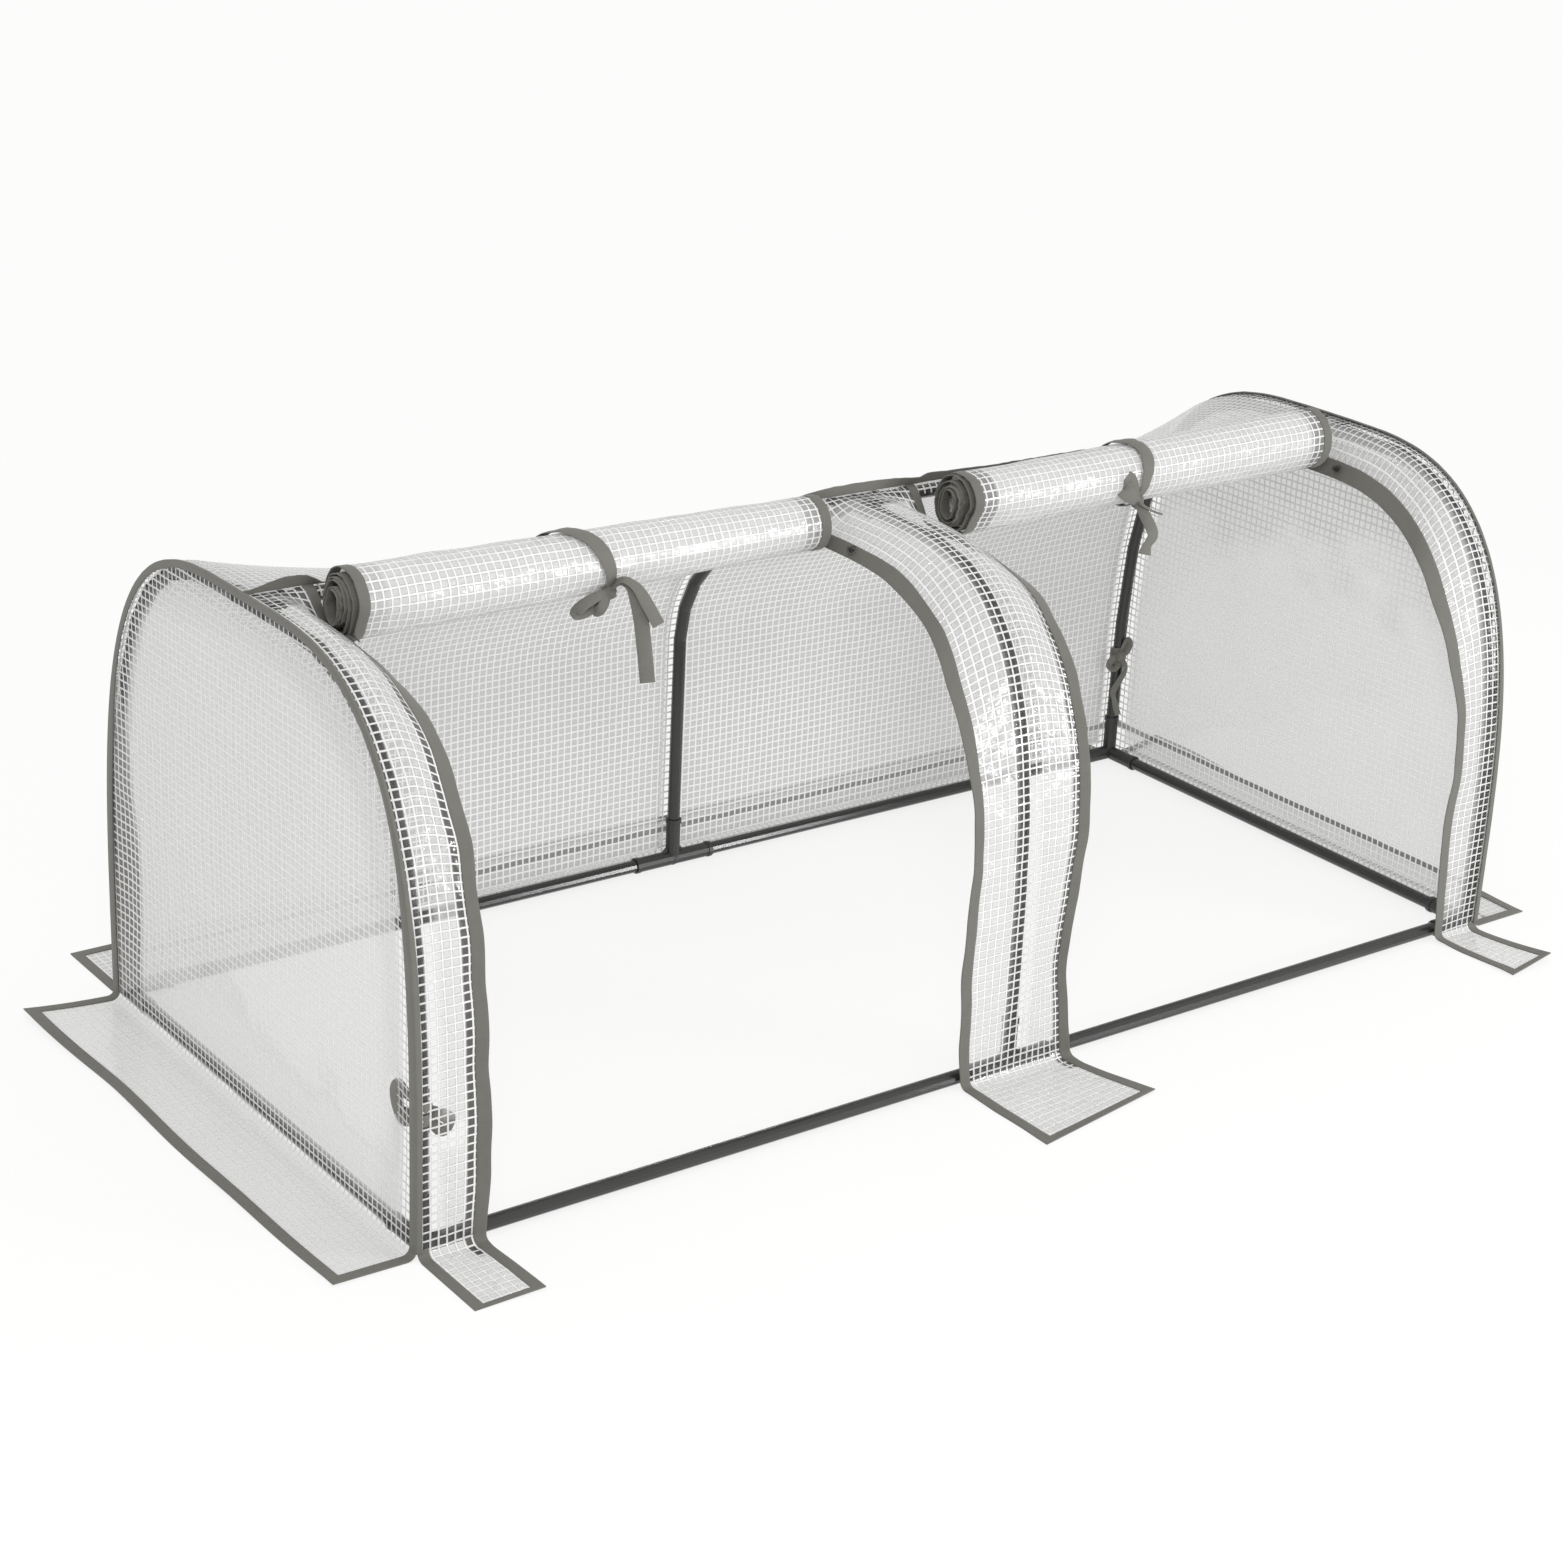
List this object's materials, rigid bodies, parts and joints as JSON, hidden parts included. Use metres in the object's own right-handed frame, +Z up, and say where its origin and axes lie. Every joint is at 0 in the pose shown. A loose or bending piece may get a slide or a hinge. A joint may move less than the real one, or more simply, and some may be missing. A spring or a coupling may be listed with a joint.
{
  "type": "tunnel greenhouse",
  "caption": "Low tunnel greenhouse: round steel tube frame with plastic connectors, gridded film cover, rolled and tied film doors along one long side, ground flaps.",
  "frame": {"origin": "on the ground, at the centre of the bounding box", "axes": "+X along the ridge to the right as seen from the open side, -Y towards the open side with the rolled doors, +Z up"},
  "size_m": [2.0232, 1.11, 0.7192],
  "materials": {
    "frame_tube": "dark grey powder coat, satin",
    "connector": "dark grey moulded plastic, matt",
    "film": "milky film with a white thread grid, glossy",
    "binding": "woven grey edge tape",
    "ribbon": "woven grey ribbon",
    "zip_metal": "dark grey painted zip metal"
  },
  "bodies": {
    "greenhouse": {"base_tube_back_left": "frame_tube", "base_tube_back_right": "frame_tube", "base_tube_end_left": "frame_tube", "base_tube_end_right": "frame_tube", "base_tube_front_left": "frame_tube", "base_tube_front_right": "frame_tube", "corner_connector_back_left": "connector", "corner_connector_back_right": "connector", "corner_connector_front_left": "connector", "corner_connector_front_right": "connector", "door_head_left": "film", "door_head_right": "film", "end_panel_left": "film", "end_panel_right": "film", "end_seam_binding_left": "binding", "end_seam_binding_right": "binding", "flap_binding_back": "binding", "flap_binding_left": "binding", "flap_binding_right": "binding", "front_strip_left": "film", "front_strip_middle": "film", "front_strip_right": "film", "hoop_left_back": "frame_tube", "hoop_left_front": "frame_tube", "hoop_middle_back": "frame_tube", "hoop_middle_front": "frame_tube", "hoop_right_back": "frame_tube", "hoop_right_front": "frame_tube", "leg_tie_back_right": "ribbon", "leg_tie_front_left": "ribbon", "ridge_connector_left": "connector", "ridge_connector_middle": "connector", "ridge_connector_right": "connector", "ridge_tube_left": "frame_tube", "ridge_tube_right": "frame_tube", "roof_sheet": "film", "strip_binding_left": "binding", "strip_binding_middle": "binding", "strip_binding_right": "binding", "tee_connector_back": "connector", "tee_connector_front": "connector", "top_seam_binding": "binding"},
    "left_door": {"door_roll_left": "film", "door_left_edge_left": "binding", "door_left_edge_right": "binding", "tie_left": "ribbon"},
    "right_door": {"door_roll_right": "film", "door_right_edge_left": "binding", "door_right_edge_right": "binding", "tie_right": "ribbon"},
    "slider_right_door_right": {"zip_slider_right_door_right": "zip_metal"},
    "pull_right_door_right": {"zip_pull_right_door_right": "zip_metal"},
    "slider_right_door_left": {"zip_slider_right_door_left": "zip_metal"},
    "pull_right_door_left": {"zip_pull_right_door_left": "zip_metal"},
    "slider_left_door_right": {"zip_slider_left_door_right": "zip_metal"},
    "pull_left_door_right": {"zip_pull_left_door_right": "zip_metal"},
    "slider_left_door_left": {"zip_slider_left_door_left": "zip_metal"},
    "pull_left_door_left": {"zip_pull_left_door_left": "zip_metal"}
  },
  "joints": [
    {"name": "left_door_lift", "type": "hinge", "parent": "greenhouse", "child": "left_door", "pos_m": [0, -0.0132, 0.676], "axis": [-1, 0, 0], "range_deg": [0, 35]},
    {"name": "right_door_lift", "type": "hinge", "parent": "greenhouse", "child": "right_door", "pos_m": [0, -0.0132, 0.676], "axis": [-1, 0, 0], "range_deg": [0, 35]},
    {"name": "zip_right_door_right_slide", "type": "slide", "parent": "greenhouse", "child": "slider_right_door_right", "axis": [-0.0069, -0.9989, -0.0468], "range_m": [0, 0.008]},
    {"name": "zip_right_door_right_pull", "type": "hinge", "parent": "slider_right_door_right", "child": "pull_right_door_right", "pos_m": [0.81568, -0.10344, 0.64353], "axis": [-0.5666, 0.0424, -0.8229], "range_deg": [0, 100]},
    {"name": "zip_right_door_left_slide", "type": "slide", "parent": "greenhouse", "child": "slider_right_door_left", "axis": [-0.0105, -0.9995, -0.0303], "range_m": [0, 0.008]},
    {"name": "zip_right_door_left_pull", "type": "hinge", "parent": "slider_right_door_left", "child": "pull_right_door_left", "pos_m": [0.09753, -0.10632, 0.64795], "axis": [-0.7341, -0.0129, 0.679], "range_deg": [0, 100]},
    {"name": "zip_left_door_right_slide", "type": "slide", "parent": "greenhouse", "child": "slider_left_door_right", "axis": [-0.0026, -0.9996, -0.0289], "range_m": [0, 0.008]},
    {"name": "zip_left_door_right_pull", "type": "hinge", "parent": "slider_left_door_right", "child": "pull_left_door_right", "pos_m": [-0.08796, -0.10625, 0.65492], "axis": [-0.7427, 0.0213, -0.6692], "range_deg": [0, 100]},
    {"name": "zip_left_door_left_slide", "type": "slide", "parent": "greenhouse", "child": "slider_left_door_left", "axis": [-0.0068, -0.9988, -0.049], "range_m": [0, 0.008]},
    {"name": "zip_left_door_left_pull", "type": "hinge", "parent": "slider_left_door_left", "child": "pull_left_door_left", "pos_m": [-0.81394, -0.10358, 0.6553], "axis": [-0.6814, -0.0312, 0.7312], "range_deg": [0, 100]}
  ]
}
